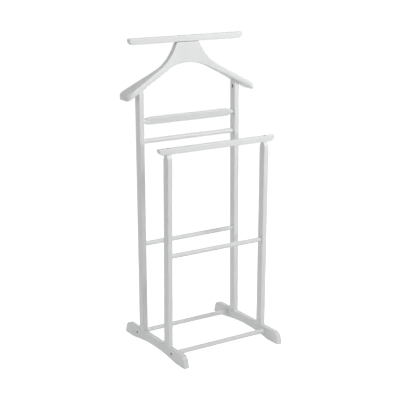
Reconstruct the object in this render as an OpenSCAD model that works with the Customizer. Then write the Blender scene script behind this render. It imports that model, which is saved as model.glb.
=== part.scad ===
// Valet stand: a free-standing wooden rack that holds a jacket, trousers and ties.
// Origin: middle of the footprint, on the floor. Seen from the front, +X is right, +Y is back, +Z is up.

/* [Frame] */
// Width over the outer faces of the posts
frame_w = 396; // [320:1:560]
// Post width, side to side
post_w = 18; // [16:0.5:28]
// Post depth, front to back
post_d = 28; // [26:0.5:44]
// Front post to rear post on the foot, centre to centre
post_gap = 165; // [130:1:230]
// Lean of the front posts to the front, and of the rear posts to the back
splay = 0.5; // [0:0.1:1.5]
// Radius on the long edges of the posts
post_edge_r = 1.5; // [0.5:0.5:4]
// Height of the front posts above the floor
front_post_top = 694.5; // [600:0.5:800]
// Height over which the top of a front post is rounded over
shoulder_h = 22; // [14:1:40]
// Depth of the flat left on top of a front post
shoulder_flat = 10; // [8:0.5:16]

/* [Feet] */
// Foot length, front to back
foot_l = 396; // [340:1:480]
// Foot height
foot_h = 41.5; // [38:0.5:60]
// Foot thickness
foot_t = 19; // [19:0.5:30]
// Rise of the arch under the foot
arch_rise = 12.5; // [6:0.5:14]
// Length of the flat pad at each end of a foot
pad_l = 56; // [35:1:90]
// Slope of the ends of a foot, from the vertical
end_lean = 16; // [0:1:25]
// Radius of the upper corner at each end of a foot
foot_nose_r = 22; // [10:1:30]
// Radius of the lower corner at each end of a foot
foot_toe_r = 4; // [1:0.5:6]

/* [Rungs] */
// Rung diameter
rung_d = 16.5; // [12:0.5:20]
// Depth of a rung's socket in a post
rung_seat = 10; // [6:0.5:12]
// Depth of a lower rung's socket in a foot
lower_seat = 6; // [4:0.5:9]
// Height of the lower rungs
lower_rung_z = 25; // [22:0.5:30]
// Distance of the lower rungs outside the posts' centres
lower_rung_out = 31.5; // [28:0.5:50]
// Height of the middle rungs
middle_rung_z = 352; // [200:1:500]
// Height of the upper rung
upper_rung_z = 705; // [620:1:740]

/* [Swivel bar] */
// Height of the swivel bar's axis
swivel_z = 772; // [755:1:820]
// Height of the bar's flat part
swivel_h = 28; // [26:0.5:36]
// Thickness of the bar's flat part
swivel_t = 11; // [8:0.5:14]
// Space between the flat part and each post
swivel_neck = 11; // [8:0.5:40]
// Radius of the corners of the flat part
swivel_corner_r = 12; // [4:0.5:12]
// Diameter of the pins at the bar's ends
swivel_pin_d = 16.5; // [10:0.5:17]
// Length over which a pin tapers away inside the flat part
swivel_taper = 20; // [10:1:30]
// Depth of a pin's socket in a post
swivel_seat = 11; // [8:0.5:13]
// Play at each end of the bar, inside its socket
swivel_end_play = 0.5; // [0.3:0.1:1]
// Radial play of a pin in its socket
swivel_play = 0.08; // [0.02:0.01:0.1]
// Angle the bar is left at, its upper edge leaning to the front
swivel_tilt = 20; // [0:1:60]

/* [Front rail and top bar] */
// Height of both bars
bar_h = 20; // [16:0.5:28]
// Radius on the long edges of both bars
bar_edge_r = 3; // [1:0.5:5]
// Length of the front rail
rail_l = 450; // [400:1:620]
// Depth of the front rail
rail_d = 19; // [16:0.5:28]
// Radius of the front rail's lower corners
rail_end_r = 17; // [4:0.5:18]
// Length of the top bar
top_bar_l = 441; // [200:1:600]
// Depth of the top bar
top_bar_d = 20; // [18:0.5:28]
// Radius of the top bar's lower corners
top_bar_end_r = 12; // [4:0.5:18]

/* [Hanger] */
// Width over the tips of the hanger
hanger_w = 516; // [430:1:620]
// Height of the highest point of the hanger's underside
hanger_z = 954.5; // [880:0.5:1100]
// Radius of the arch in the middle of the underside
hanger_arch_r = 172; // [120:1:220]
// Slope of the arms below the horizontal
arm_slope = 28; // [22:0.1:32]
// Thickness of an arm, square to its slope
arm_t = 22; // [20:0.5:30]
// Height of the neck above the underside's highest point
neck_h = 69.5; // [50:0.5:90]
// Width of the neck at its top
neck_w = 89; // [80:1:120]
// Thickness of the neck, front to back
neck_t = 20; // [18:0.5:28]
// Radius of the hollow curve from the neck into an arm
neck_r = 156; // [100:1:200]
// Distance from the posts' rear faces to the back of the neck
hanger_back = 6; // [4:0.5:20]

/* [Hanger in plan] */
// Distance from the middle to the bend where each arm turns forward
bend_x = 42; // [38:1:56]
// Angle that the arms turn forward
bend_angle = 10.8; // [8:0.1:12]
// Radius of the bend, on the front face
bend_r = 300; // [150:10:380]
// Distance from the middle to the hollow in the back of each arm
hollow_x = 115; // [105:1:120]
// Radius of the hollow
hollow_r = 200; // [120:5:300]
// Angle that an arm's back turns to the rear beyond the hollow, so that the arm widens
flare_angle = 7.8; // [6:0.1:10]
// Radius of a tip's front corner
tip_front_r = 32; // [10:1:34]
// Radius of a tip's back corner
tip_back_r = 24; // [6:1:26]

/* [Screws] */
// Shank diameter of a wood screw
screw_d = 4; // [3.5:0.1:5]
// Head diameter of a wood screw
screw_head_d = 7.5; // [7:0.5:9]
// Height of a wood screw's conical head
screw_head_h = 3; // [2.5:0.1:4.5]
// Length of the point of a wood screw
screw_point = 4; // [2:0.5:6]
// How deep a head is sunk below the surface
screw_sink = 1.5; // [0.5:0.1:3]
// Length of a lower rung screw
rung_screw_l = 48; // [40:1:70]
// Length of a front rail screw
rail_screw_l = 52; // [40:1:75]
// Length of a top bar screw
bar_screw_l = 45; // [35:1:60]
// Distance of the top bar screws from the middle
bar_screw_x = 28; // [15:1:34]
// Shank diameter of a hanger screw
hanger_screw_d = 3.5; // [3:0.1:4.5]
// Head diameter of a hanger screw
hanger_head_d = 6.5; // [6:0.1:8]
// Head height of a hanger screw
hanger_head_h = 2.5; // [2:0.1:4]
// Length of a hanger screw under its head
hanger_screw_l = 24; // [18:1:26]
// Thickness of post wood under a hanger screw's head
hanger_grip = 9; // [6:0.5:12]

/* [Bolts and pins] */
// Bolt shank diameter
bolt_d = 6; // [5:0.1:6.5]
// Bolt head diameter
bolt_head_d = 10; // [9:0.1:11]
// Bolt head height
bolt_head_h = 6; // [4:0.1:7]
// Across flats of the hexagon socket in a bolt head
bolt_key = 5; // [3:0.1:6]
// Bolt length under the head
bolt_l = 45; // [40:1:55]
// Height of the washer's upper face above the floor
bolt_seat_z = 20; // [18:0.5:24]
// Washer diameter
washer_d = 12; // [11:0.1:13]
// Washer thickness
washer_t = 1.2; // [0.8:0.1:2]
// Outer diameter of a threaded insert
insert_d = 9; // [8:0.1:10]
// Length of a threaded insert
insert_l = 13; // [10:0.5:20]
// Distance of a bolt in front of its post's centre
bolt_off = 5; // [4:0.5:6]
// Diameter of the dowel pins between feet and posts
pin_d = 6; // [4:0.5:7]
// Length of the dowel pins between feet and posts
pin_l = 36; // [24:1:44]
// Distance of a dowel pin behind its post's centre
pin_off = 7; // [6.5:0.5:8]
// Diameter of the dowel pins between posts and hanger
hanger_pin_d = 5; // [3:0.5:5]
// Length of the dowel pins between posts and hanger
hanger_pin_l = 20; // [14:1:26]
// Radial clearance round screws, bolts, pins and glued rungs
fit = 0.05; // [0.02:0.01:0.1]
// Least wood left beside a screw pocket or a pin
wall = 2; // [1.5:0.1:2.5]

/* [Hidden] */
$fn = 64;
// Overrun of a cut past a face, and of a round past an edge that it touches
eps = 0.5;
hair = 0.05;
// Room left beyond the point of a screw
screw_room = 1;

// Both sides, and both rows of posts: the front one and the rear one
sides = [-1, 1];
FRONT = -1;
REAR = 1;
rows = [FRONT, REAR];

// Places of the posts, feet and rungs on the right
post_x = frame_w / 2 - post_w / 2;
inner_x = frame_w / 2 - post_w;
foot_inner_x = frame_w / 2 - foot_t;
lower_rung_y = post_gap / 2 + lower_rung_out;
// Distance of a post's centre line from the middle of the stand, at a height
function lean_y(z) = post_gap / 2 + tan(splay) * (z - foot_h);
rail_y = -lean_y(front_post_top);

// The arch under a foot: a circle through the inner ends of both pads
arch_half = foot_l / 2 - pad_l;
arch_r = (arch_half * arch_half + arch_rise * arch_rise) / (2 * arch_rise);

// An end of a foot in Y and Z: a sloping line that touches the toe's round and the nose's round
toe = [foot_l / 2 - foot_toe_r, foot_toe_r];
nose_z = foot_h - foot_nose_r;
nose_in = (foot_nose_r - foot_toe_r + (nose_z - toe[1]) * sin(end_lean)) / cos(end_lean);
nose = [toe[0] - nose_in, nose_z];
end_out = [cos(end_lean), sin(end_lean)];

// The rounded top of a front post: an arc from each face to the flat
shoulder_in = (post_d - shoulder_flat) / 2;
shoulder_r = (shoulder_in * shoulder_in + shoulder_h * shoulder_h) / (2 * shoulder_in);

// The hanger's outline in X and Z: along and square to the right arm
along = [cos(arm_slope), -sin(arm_slope)];
square_to = [sin(arm_slope), cos(arm_slope)];
neck_top = hanger_z + neck_h;
arch_c = [0, hanger_z - hanger_arch_r];
arm_foot = arch_c + hanger_arch_r * square_to;
arm_head = arm_foot + arm_t * square_to;
tip_run = (hanger_w / 2 - arm_t / 2 - arm_foot[0] - square_to[0] * arm_t / 2) / along[0];
tip_c = arm_foot + square_to * arm_t / 2 + along * tip_run;
neck_corner = [neck_w / 2, neck_top];
// The hollow neck curve touches the arm's upper edge and ends in the neck's corner
rise = (arm_head - neck_corner) * square_to;
neck_run = -((arm_head - neck_corner) * along) + sqrt(-rise * rise - 2 * neck_r * rise);
neck_touch = arm_head + along * neck_run;
neck_c = neck_touch + square_to * neck_r;

// The joint between a rear post and the hanger's arm: a screw, with a dowel pin behind it
function arm_under(x) = arm_foot[1] - tan(arm_slope) * (x - arm_foot[0]);
joint_z = arm_under(post_x);
hanger_screw_y = lean_y(joint_z);
hanger_pin_y = hanger_screw_y + post_d / 2 - wall - hanger_pin_d / 2;
pocket_d = hanger_head_d + 2 * fit;
pocket_l = post_w / sin(arm_slope);

// The hanger in plan: the right arm's front and back are lines, joined to the neck by a bend
back_y = lean_y(joint_z) + post_d / 2 + hanger_back;
neck_y = back_y - neck_t / 2;
front_y = back_y - neck_t;
back_bend_x = bend_x + neck_t * tan(bend_angle / 2);
hollow_y = back_y - tan(bend_angle) * (hollow_x - back_bend_x);
function arm_front(x) = front_y - tan(bend_angle) * (x - bend_x);
function arm_back(x) = hollow_y + tan(flare_angle) * (x - hollow_x);
// The round in the bend, and the round in the hollow: where each meets the lines
bend_c = [bend_x - bend_r * tan(bend_angle / 2), front_y - bend_r];
bend_touch = bend_c + bend_r * [sin(bend_angle), cos(bend_angle)];
hollow_run = hollow_r * tan((bend_angle + flare_angle) / 2);
hollow_start = [hollow_x, hollow_y] + hollow_run * [-cos(bend_angle), sin(bend_angle)];
hollow_end = [hollow_x, hollow_y] + hollow_run * [cos(flare_angle), sin(flare_angle)];
hollow_c = hollow_start + hollow_r * [sin(bend_angle), cos(bend_angle)];
// The rounds of a tip, which touch its end
end_x = hanger_w / 2 + eps;
tip_front_x = end_x - tip_front_r;
tip_back_x = end_x - tip_back_r;
tip_front_c = [tip_front_x, arm_front(tip_front_x) + tip_front_r / cos(bend_angle)];
tip_back_c = [tip_back_x, arm_back(tip_back_x) - tip_back_r / cos(flare_angle)];

// The bolts and pins between feet and posts
bolt_head_z = bolt_seat_z - washer_t;
bolt_pocket_d = washer_d + 1;
pin_half = pin_l / 2;

// ---- Shared shapes ----

// A rectangle centred on the origin, with round corners
module rounded(w, h, r) {
    square([w - 2 * r, h], center = true);
    square([w, h - 2 * r], center = true);
    for (x = sides, y = sides) translate([x * (w / 2 - r), y * (h / 2 - r)]) circle(r = r);
}

// Draws its children on the right, or mirrored on the left
module on_side(side) {
    if (side > 0) children();
    else mirror([1, 0, 0]) children();
}

module both_sides() {
    for (side = sides) on_side(side) children();
}

// Stands an outline in X and Z upright, from depth y0 to depth y1
module upright(y0, y1) {
    translate([0, y1, 0]) rotate([90, 0, 0]) linear_extrude(y1 - y0) children();
}

// Stands an outline in Y and Z upright, from place x0 to place x1
module sideways(x0, x1) {
    translate([x0, 0, 0]) rotate([90, 0, 90]) linear_extrude(x1 - x0) children();
}

module rod_x(l, d) {
    rotate([0, 90, 0]) cylinder(h = l, d = d, center = true);
}

// A countersunk wood screw that points down, with its head's flat on Z = 0
module wood_screw(l) {
    slot_l = screw_head_d / 2;
    difference() {
        union() {
            translate([0, 0, -screw_head_h]) cylinder(h = screw_head_h, d1 = screw_d, d2 = screw_head_d);
            translate([0, 0, screw_point - l]) cylinder(h = l - screw_point - screw_head_h, d = screw_d);
            translate([0, 0, -l]) cylinder(h = screw_point, d1 = screw_d / 4, d2 = screw_d);
        }
        for (a = [0, 90]) rotate([0, 0, a]) cube([slot_l, slot_l / 4, screw_head_h], center = true);
    }
}

// The hole for it: a recess for the head, the countersink and the pilot bore
module screw_hole(l) {
    cylinder(h = screw_sink + eps, d = screw_head_d + 2 * fit);
    translate([0, 0, -screw_head_h])
        cylinder(h = screw_head_h, d1 = screw_d + 2 * fit, d2 = screw_head_d + 2 * fit);
    translate([0, 0, -l - screw_room]) cylinder(h = l + screw_room, d = screw_d + 2 * fit);
}

// Lays a downward screw into the right foot's outer face, at the lower rung of a row
module at_rung_screw(row) {
    translate([frame_w / 2 - screw_sink, row * lower_rung_y, lower_rung_z]) rotate([0, 90, 0]) children();
}

module at_rail_screw() {
    translate([post_x, rail_y, front_post_top + bar_h - screw_sink]) children();
}

module at_bar_screw() {
    translate([bar_screw_x, neck_y, neck_top + bar_h - screw_sink]) children();
}

// Square to the joint between the right rear post and the hanger: +Z runs up into the arm
module at_arm_joint(y) {
    translate([post_x, y, joint_z]) rotate([0, arm_slope, 0]) children();
}

// At the foot of the right post of a row: at its bolt, and at its dowel pin
module at_bolt(row) {
    translate([post_x, row * post_gap / 2 - bolt_off, 0]) children();
}

module at_foot_pin(row) {
    translate([post_x, row * post_gap / 2 + pin_off, foot_h]) children();
}

// ---- Feet ----

// The front half or the rear half of a foot, drawn in Y and Z as X and Y
module foot_half_outline() {
    polygon([
        [-eps, 0], [toe[0], 0], toe + foot_toe_r * end_out,
        nose + foot_nose_r * end_out, [nose[0], foot_h], [-eps, foot_h]
    ]);
    translate(toe) circle(r = foot_toe_r);
    intersection() {
        translate(nose) circle(r = foot_nose_r);
        square([foot_l, foot_h + eps]);
    }
}

module foot() {
    difference() {
        sideways(foot_inner_x, frame_w / 2) difference() {
            union() {
                foot_half_outline();
                mirror([1, 0]) foot_half_outline();
            }
            translate([0, arch_rise - arch_r]) circle(r = arch_r, $fn = 360);
        }
        for (row = rows) {
            translate([foot_inner_x + lower_seat / 2 - eps, row * lower_rung_y, lower_rung_z])
                rod_x(lower_seat + 2 * eps, rung_d + 2 * fit);
            at_rung_screw(row) screw_hole(rung_screw_l);
            at_bolt(row) {
                translate([0, 0, -eps]) cylinder(h = bolt_seat_z + eps, d = bolt_pocket_d);
                cylinder(h = foot_h + eps, d = bolt_d + 2 * fit);
            }
            at_foot_pin(row) translate([0, 0, -pin_half]) cylinder(h = pin_l, d = pin_d + 2 * fit);
        }
    }
}

module left_foot() { color("whitesmoke") on_side(-1) foot(); }
module right_foot() { color("whitesmoke") on_side(1) foot(); }

// ---- Posts ----

// A leaning stick on the right foot, cut level on the foot and at its top
module post_stick(row, top) {
    intersection() {
        translate([post_x, row * post_gap / 2, foot_h]) rotate([-row * splay, 0, 0]) {
            translate([0, 0, -post_d]) linear_extrude(top + post_d) rounded(post_w, post_d, post_edge_r);
        }
        translate([inner_x - eps, -foot_l, foot_h]) cube([post_w + 2 * eps, 2 * foot_l, top - foot_h]);
    }
}

// The bores in the bottom end of a post
module post_end_bores(row) {
    at_bolt(row) {
        translate([0, 0, foot_h - eps]) cylinder(h = insert_l + eps, d = insert_d + 2 * fit);
        translate([0, 0, foot_h]) cylinder(h = bolt_l, d = bolt_d + 2 * fit);
    }
    at_foot_pin(row) translate([0, 0, -eps]) cylinder(h = pin_half + eps, d = pin_d + 2 * fit);
}

// A blind socket in a post's inner face
module socket(row, z, d, depth) {
    translate([inner_x + (depth - eps) / 2, row * lean_y(z), z]) rod_x(depth + eps, d);
}

// Side view of a front post's rounded top, drawn in Y and Z as X and Y from the post's foot
module shoulder_outline() {
    start = front_post_top - shoulder_h - foot_h;
    translate([-post_d / 2 - eps, -post_d]) square([post_d + 2 * eps, start + post_d]);
    intersection_for(s = sides) {
        translate([s * (shoulder_r - post_d / 2), start]) circle(r = shoulder_r, $fn = 180);
    }
}

module front_post() {
    difference() {
        intersection() {
            post_stick(FRONT, front_post_top);
            translate([0, -post_gap / 2, foot_h]) rotate([splay, 0, 0])
                sideways(inner_x - eps, frame_w / 2 + eps) shoulder_outline();
        }
        post_end_bores(FRONT);
        socket(FRONT, middle_rung_z, rung_d + 2 * fit, rung_seat);
        at_rail_screw() screw_hole(rail_screw_l);
    }
}

module rear_post() {
    difference() {
        post_stick(REAR, arm_under(inner_x));
        // The sloping cut that the hanger's arm sits on
        at_arm_joint(hanger_screw_y) translate([0, 0, post_w]) cube([4, 3, 2] * post_w, center = true);
        post_end_bores(REAR);
        for (z = [middle_rung_z, upper_rung_z]) socket(REAR, z, rung_d + 2 * fit, rung_seat);
        socket(REAR, swivel_z, swivel_pin_d + 2 * swivel_play, swivel_seat);
        at_arm_joint(hanger_screw_y) {
            translate([0, 0, -hanger_grip - eps])
                cylinder(h = hanger_grip + 2 * eps, d = hanger_screw_d + 2 * fit);
            translate([0, 0, -hanger_grip - pocket_l]) cylinder(h = pocket_l, d = pocket_d);
        }
        at_arm_joint(hanger_pin_y)
            translate([0, 0, -hanger_pin_l / 2]) cylinder(h = hanger_pin_l, d = hanger_pin_d + 2 * fit);
    }
}

module front_left_post() { color("whitesmoke") on_side(-1) front_post(); }
module front_right_post() { color("whitesmoke") on_side(1) front_post(); }
module rear_left_post() { color("whitesmoke") on_side(-1) rear_post(); }
module rear_right_post() { color("whitesmoke") on_side(1) rear_post(); }

// ---- Rungs ----

module post_rung(row, z) {
    translate([0, row * lean_y(z), z]) rod_x(2 * (inner_x + rung_seat), rung_d);
}

// A lower rung, drilled at both ends for its screws
module lower_rung(row) {
    difference() {
        translate([0, row * lower_rung_y, lower_rung_z]) rod_x(2 * (foot_inner_x + lower_seat), rung_d);
        both_sides() at_rung_screw(row) screw_hole(rung_screw_l);
    }
}

module rear_lower_rung() { color("white") lower_rung(REAR); }
module front_lower_rung() { color("white") lower_rung(FRONT); }
module rear_middle_rung() { color("white") post_rung(REAR, middle_rung_z); }
module front_middle_rung() { color("white") post_rung(FRONT, middle_rung_z); }
module upper_rung() { color("white") post_rung(REAR, upper_rung_z); }

// ---- Swivel bar ----

// A pin at the right end of the bar: round in its socket, and a cone that sinks into the flat part
module swivel_pin(flat_end) {
    translate([flat_end, 0, 0]) rotate([0, 90, 0]) {
        cylinder(h = inner_x + swivel_seat - swivel_end_play - flat_end, d = swivel_pin_d);
        translate([0, 0, -swivel_taper])
            cylinder(h = swivel_taper, d1 = min(swivel_t, swivel_pin_d) / 2, d2 = swivel_pin_d);
    }
}

module swivel_bar() {
    flat_end = inner_x - swivel_neck;
    color("whitesmoke") translate([0, lean_y(swivel_z), swivel_z]) rotate([swivel_tilt, 0, 0]) {
        both_sides() swivel_pin(flat_end);
        intersection() {
            upright(-swivel_t, swivel_t) rounded(2 * flat_end, swivel_h, swivel_corner_r);
            sideways(-flat_end - eps, flat_end + eps) rounded(swivel_t, swivel_h, swivel_t / 3);
        }
    }
}

// ---- Front rail and top bar ----

// A bar along X that stands on Z = 0, with its long edges and its lower end corners rounded
module bar(l, d, end_r) {
    intersection() {
        translate([0, 0, bar_h / 2]) sideways(-l, l) rounded(d, bar_h, bar_edge_r);
        upright(-d, d) {
            translate([-l / 2, end_r]) square([l, bar_h - end_r]);
            translate([end_r - l / 2, 0]) square([l - 2 * end_r, bar_h]);
            for (s = sides) intersection() {
                translate([s * (l / 2 - end_r), end_r]) circle(r = end_r);
                translate([s * (l / 2 - end_r), end_r / 2]) square([2 * end_r, end_r], center = true);
            }
        }
    }
}

module front_rail() {
    color("whitesmoke") difference() {
        translate([0, rail_y, front_post_top]) bar(rail_l, rail_d, rail_end_r);
        both_sides() at_rail_screw() screw_hole(rail_screw_l);
    }
}

module top_bar() {
    color("whitesmoke") difference() {
        translate([0, neck_y, neck_top]) bar(top_bar_l, top_bar_d, top_bar_end_r);
        both_sides() at_bar_screw() screw_hole(bar_screw_l);
    }
}

// ---- Hanger ----

// The right half of the hanger, before its round cuts: half of the neck, and the arm with its round tip
module hanger_half_outline() {
    polygon([
        [-eps, arm_foot[1]], arm_foot,
        tip_c - square_to * arm_t / 2, tip_c + square_to * arm_t / 2,
        neck_touch, [neck_corner[0] + neck_r / 4, neck_top], [-eps, neck_top]
    ]);
    translate(tip_c) circle(d = arm_t + 2 * hair);
}

// Front view of the hanger; the three round cuts run a hair past the arms' edges
module hanger_outline() {
    difference() {
        union() {
            hanger_half_outline();
            mirror([1, 0]) hanger_half_outline();
        }
        for (side = sides) translate([side * neck_c[0], neck_c[1]]) circle(r = neck_r + hair, $fn = 180);
        translate(arch_c) circle(r = hanger_arch_r + hair, $fn = 180);
    }
}

// The right half of the hanger seen from above, before its round cuts
module hanger_half_plan() {
    polygon([
        [-eps, front_y], [bend_c[0], front_y], bend_touch,
        tip_front_c - tip_front_r * [sin(bend_angle), cos(bend_angle)], [end_x, tip_front_c[1]],
        [end_x, tip_back_c[1]], tip_back_c + tip_back_r * [-sin(flare_angle), cos(flare_angle)],
        hollow_end, hollow_start, [back_bend_x, back_y], [-eps, back_y]
    ]);
    translate(tip_front_c) circle(r = tip_front_r + hair, $fn = 90);
    translate(tip_back_c) circle(r = tip_back_r + hair, $fn = 90);
}

// View from above; the round cuts run a hair past the faces
module hanger_plan() {
    difference() {
        union() {
            hanger_half_plan();
            mirror([1, 0]) hanger_half_plan();
        }
        for (side = sides) {
            translate([side * bend_c[0], bend_c[1]]) circle(r = bend_r + hair, $fn = 360);
            translate([side * hollow_c[0], hollow_c[1]]) circle(r = hollow_r + hair, $fn = 360);
        }
    }
}

module hanger() {
    color("whitesmoke") difference() {
        intersection() {
            upright(arm_front(end_x) - eps, arm_back(end_x) + eps) hanger_outline();
            linear_extrude(neck_top + eps) hanger_plan();
        }
        both_sides() {
            at_bar_screw() screw_hole(bar_screw_l);
            at_arm_joint(hanger_screw_y) translate([0, 0, -eps])
                cylinder(h = hanger_screw_l - hanger_grip + screw_room + eps, d = hanger_screw_d + 2 * fit);
            at_arm_joint(hanger_pin_y) translate([0, 0, -eps])
                cylinder(h = hanger_pin_l / 2 + eps, d = hanger_pin_d + 2 * fit);
        }
    }
}

// ---- Screws ----

module lower_rung_screws() {
    color("dimgray") for (row = rows) both_sides() at_rung_screw(row) wood_screw(rung_screw_l);
}

module front_rail_screws() {
    color("dimgray") both_sides() at_rail_screw() wood_screw(rail_screw_l);
}

module top_bar_screws() {
    color("dimgray") both_sides() at_bar_screw() wood_screw(bar_screw_l);
}

// A pan-head screw in each pocket, square to the arm's underside
module hanger_screws() {
    head_z = -hanger_grip - hanger_head_h;
    slot_l = hanger_head_d / 2;
    color("dimgray") both_sides() at_arm_joint(hanger_screw_y) difference() {
        union() {
            translate([0, 0, head_z]) cylinder(h = hanger_head_h, d = hanger_head_d);
            translate([0, 0, -hanger_grip]) cylinder(h = hanger_screw_l, d = hanger_screw_d);
        }
        for (a = [0, 90]) translate([0, 0, head_z]) rotate([0, 0, a])
            cube([slot_l, slot_l / 4, hanger_head_h], center = true);
    }
}

// ---- Bolts, washers, inserts and pins ----

module foot_bolt() {
    difference() {
        union() {
            translate([0, 0, -bolt_head_h]) cylinder(h = bolt_head_h, d = bolt_head_d);
            cylinder(h = bolt_l, d = bolt_d);
        }
        translate([0, 0, -bolt_head_h - eps])
            cylinder(h = bolt_head_h / 2 + eps, d = bolt_key / cos(30), $fn = 6);
    }
}

module tube(h, outer) {
    difference() {
        cylinder(h = h, d = outer);
        translate([0, 0, -eps]) cylinder(h = h + 2 * eps, d = bolt_d + 2 * fit);
    }
}

module foot_bolts() {
    color("silver") for (row = rows) both_sides() at_bolt(row) translate([0, 0, bolt_head_z]) foot_bolt();
}

module bolt_washers() {
    color("silver") for (row = rows) both_sides() at_bolt(row)
        translate([0, 0, bolt_head_z]) tube(washer_t, washer_d);
}

module post_inserts() {
    color("goldenrod") for (row = rows) both_sides() at_bolt(row)
        translate([0, 0, foot_h]) tube(insert_l, insert_d);
}

module foot_dowel_pins() {
    color("burlywood") for (row = rows) both_sides() at_foot_pin(row)
        translate([0, 0, -pin_half]) cylinder(h = pin_l, d = pin_d);
}

module hanger_dowel_pins() {
    color("burlywood") both_sides() at_arm_joint(hanger_pin_y)
        translate([0, 0, -hanger_pin_l / 2]) cylinder(h = hanger_pin_l, d = hanger_pin_d);
}

left_foot();
right_foot();
rear_left_post();
rear_right_post();
front_left_post();
front_right_post();
rear_lower_rung();
front_lower_rung();
rear_middle_rung();
front_middle_rung();
upper_rung();
swivel_bar();
front_rail();
hanger();
top_bar();
lower_rung_screws();
front_rail_screws();
hanger_screws();
top_bar_screws();
foot_bolts();
bolt_washers();
post_inserts();
foot_dowel_pins();
hanger_dowel_pins();
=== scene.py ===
# %% [markdown]
# # A white valet stand
# A valet stand holds the clothes for the next day: a jacket on the hanger, trousers over the bars,
# ties on the rungs. This one is sawn, turned and glued from beech, then painted white.
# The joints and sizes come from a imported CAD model, which this lesson loads and dresses. Every length
# below is in metres, X runs to the right, Y to the back and Z up, and the floor is at Z = 0.

# %% Load the stand's frame
import math
import bpy
import numpy as np
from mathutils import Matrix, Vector


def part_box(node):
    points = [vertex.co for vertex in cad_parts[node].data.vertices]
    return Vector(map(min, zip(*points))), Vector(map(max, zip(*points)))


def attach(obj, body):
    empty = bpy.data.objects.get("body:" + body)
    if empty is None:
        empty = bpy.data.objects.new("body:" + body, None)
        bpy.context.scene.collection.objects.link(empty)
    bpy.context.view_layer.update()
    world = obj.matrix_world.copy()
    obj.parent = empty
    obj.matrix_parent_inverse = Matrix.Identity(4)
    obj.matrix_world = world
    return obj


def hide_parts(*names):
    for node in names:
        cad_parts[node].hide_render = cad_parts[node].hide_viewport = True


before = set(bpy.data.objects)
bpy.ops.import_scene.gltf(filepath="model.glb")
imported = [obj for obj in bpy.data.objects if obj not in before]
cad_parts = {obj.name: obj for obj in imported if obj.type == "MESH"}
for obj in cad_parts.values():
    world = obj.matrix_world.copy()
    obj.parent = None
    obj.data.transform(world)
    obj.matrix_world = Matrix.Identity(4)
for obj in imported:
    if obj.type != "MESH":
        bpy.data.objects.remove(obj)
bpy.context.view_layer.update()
MM = 0.001

# %% [markdown]
# ## The camera
# The stand is seen from its left, a little from above. A long lens keeps its upright posts nearly
# parallel. The camera is placed by three numbers that are easy to picture: how far round the stand it
# is, how high above the horizon, and how far away. It looks at a point near the stand's middle.

# %% Set up the camera
def look_from(aim, round_deg, above_deg, distance, lens):
    """A camera at `distance` from `aim`, turned `round_deg` to the left of the front and `above_deg` up."""
    yaw = math.radians(round_deg)
    pitch = math.radians(above_deg)
    back = (-math.sin(yaw) * math.cos(pitch), -math.cos(yaw) * math.cos(pitch), math.sin(pitch))
    data = bpy.data.cameras.new("camera")
    data.lens = lens
    camera = bpy.data.objects.new("camera", data)
    camera.location = [a + distance * b for a, b in zip(aim, back)]
    camera.rotation_euler = (math.pi / 2 - pitch, 0, -yaw)
    bpy.context.scene.collection.objects.link(camera)
    bpy.context.scene.camera = camera
    return camera


NEAR_MIDDLE = (-0.0109, 0, 0.5)
camera = look_from(NEAR_MIDDLE, round_deg=32.79, above_deg=14.914, distance=3.5393, lens=94.33)
print("camera at", [round(c, 4) for c in camera.location])

# %% [markdown]
# ## A mesh from rings
# Every wooden piece here can be described by rings: closed loops of points, one after another, with
# quads between them. A stick is a rounded rectangle carried along a line. A board is an outline that
# shrinks a little at both faces, which gives it soft edges. Working the rings out as whole numpy arrays
# keeps the maths close to how the piece is described, and the same few helpers then make them all.

# %% Make a mesh object from points and faces
def volume(points, faces):
    """Signed volume: the sum over all triangles of a fan of a . (b x c) / 6. It's negative inside out."""
    total = 0.0
    for size in sorted({len(f) for f in faces}):
        loops = np.array([f for f in faces if len(f) == size])
        for k in range(1, size - 1):
            a, b, c = points[loops[:, 0]], points[loops[:, k]], points[loops[:, k + 1]]
            total += np.einsum("ij,ij->", a, np.cross(b, c)) / 6
    return total


def mesh_piece(name, points, faces, edge):
    """A new object at the origin. `edge` is 1 on a rounded edge and 0 on a flat face, for the paint."""
    if volume(points, faces) < 0:
        faces = [f[::-1] for f in faces]
    mesh = bpy.data.meshes.new(name)
    mesh.from_pydata(points.tolist(), [], faces)
    mesh.attributes.new("edge", "FLOAT", "POINT").data.foreach_set("value", edge.astype(np.float32))
    mesh.validate()
    piece = bpy.data.objects.new(name, mesh)
    bpy.context.scene.collection.objects.link(piece)
    return piece


def ring_faces(rings, around):
    """Quads between each ring and the next, where ring k holds points k * around to (k + 1) * around - 1."""
    k, i = np.meshgrid(np.arange(rings - 1), np.arange(around), indexing="ij")
    j = (i + 1) % around
    quads = np.stack([k * around + i, k * around + j, (k + 1) * around + j, (k + 1) * around + i], -1)
    return quads.reshape(-1, 4).tolist()


def closed_faces(rings, around):
    """The quads, and a face over the first and the last ring. The first one runs backwards, so that
    both look outward."""
    last = (rings - 1) * around
    return ring_faces(rings, around) + [list(range(around))[::-1], list(range(last, last + around))]


print("rings of 4 points and 3 rings give", len(ring_faces(3, 4)), "quads")

# %% [markdown]
# ## Finishing a piece
# A real hole, such as a screw's recess, is cut with a Boolean modifier, and the cutter is removed. The
# Weighted Normal modifier then lets the large flat faces decide how light falls at their borders, so
# a flat face looks flat and a rounded edge looks round. Both are applied, because a finished piece
# shouldn't depend on anything else in the file.

# %% Cut holes and settle the normals
def settle(piece):
    """Applies the piece's modifiers by taking over its evaluated mesh."""
    graph = bpy.context.evaluated_depsgraph_get()
    done = bpy.data.meshes.new_from_object(piece.evaluated_get(graph), depsgraph=graph)
    old = piece.data
    piece.modifiers.clear()
    piece.data = done
    bpy.data.meshes.remove(old)
    piece.data.name = piece.name


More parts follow.
